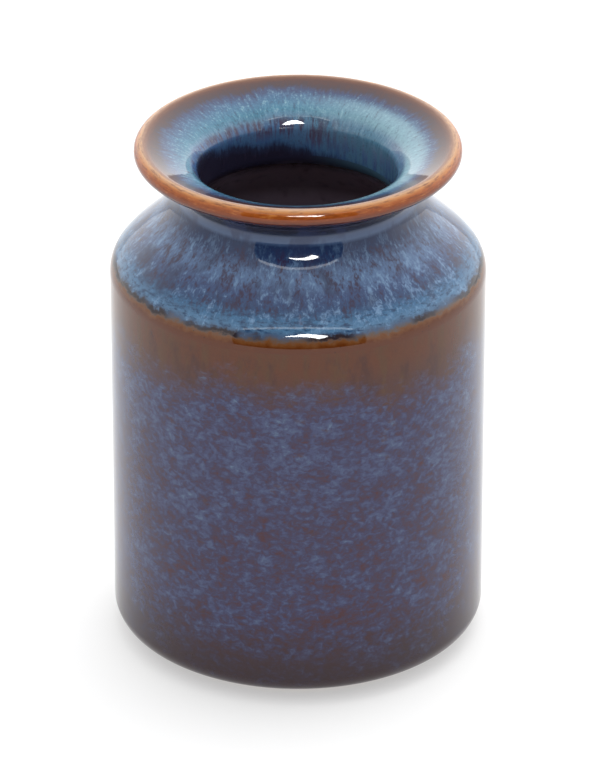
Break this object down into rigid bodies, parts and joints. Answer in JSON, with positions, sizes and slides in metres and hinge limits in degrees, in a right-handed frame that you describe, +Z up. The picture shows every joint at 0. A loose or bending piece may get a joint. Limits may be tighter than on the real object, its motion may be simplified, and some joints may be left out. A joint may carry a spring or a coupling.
{
  "type": "flower vase",
  "caption": "Small glazed stoneware vase: straight cylindrical body, sloping shoulder, short waisted neck and a wide flared rim; holds cut stems in water.",
  "frame": {"origin": "centre of the foot ring's underside, on the surface the vase stands on", "axes": "+Z up along the vase's turning axis; the vase is round, so +X and +Y are free, and -Y is called the front"},
  "size_m": [0.091, 0.091, 0.13],
  "materials": {
    "stoneware": "bare fired stoneware, matt",
    "wall_glaze": "glossy, blue feathered over purple-brown",
    "shoulder_glaze": "glossy, navy to violet-blue mottle",
    "lip_glaze": "glossy amber where the glaze breaks thin",
    "throat_glaze": "glossy pale blue with run streaks",
    "liner_glaze": "dark brown gloss"
  },
  "bodies": {
    "root": {"foot_ring": "stoneware", "base_slab": "stoneware", "body_wall": "stoneware", "shoulder": "stoneware", "neck": "stoneware", "flared_rim": "stoneware", "wall_glaze": "wall_glaze", "shoulder_glaze": "shoulder_glaze", "lip_glaze": "lip_glaze", "throat_glaze": "throat_glaze", "liner_glaze": "liner_glaze"}
  },
  "joints": []
}
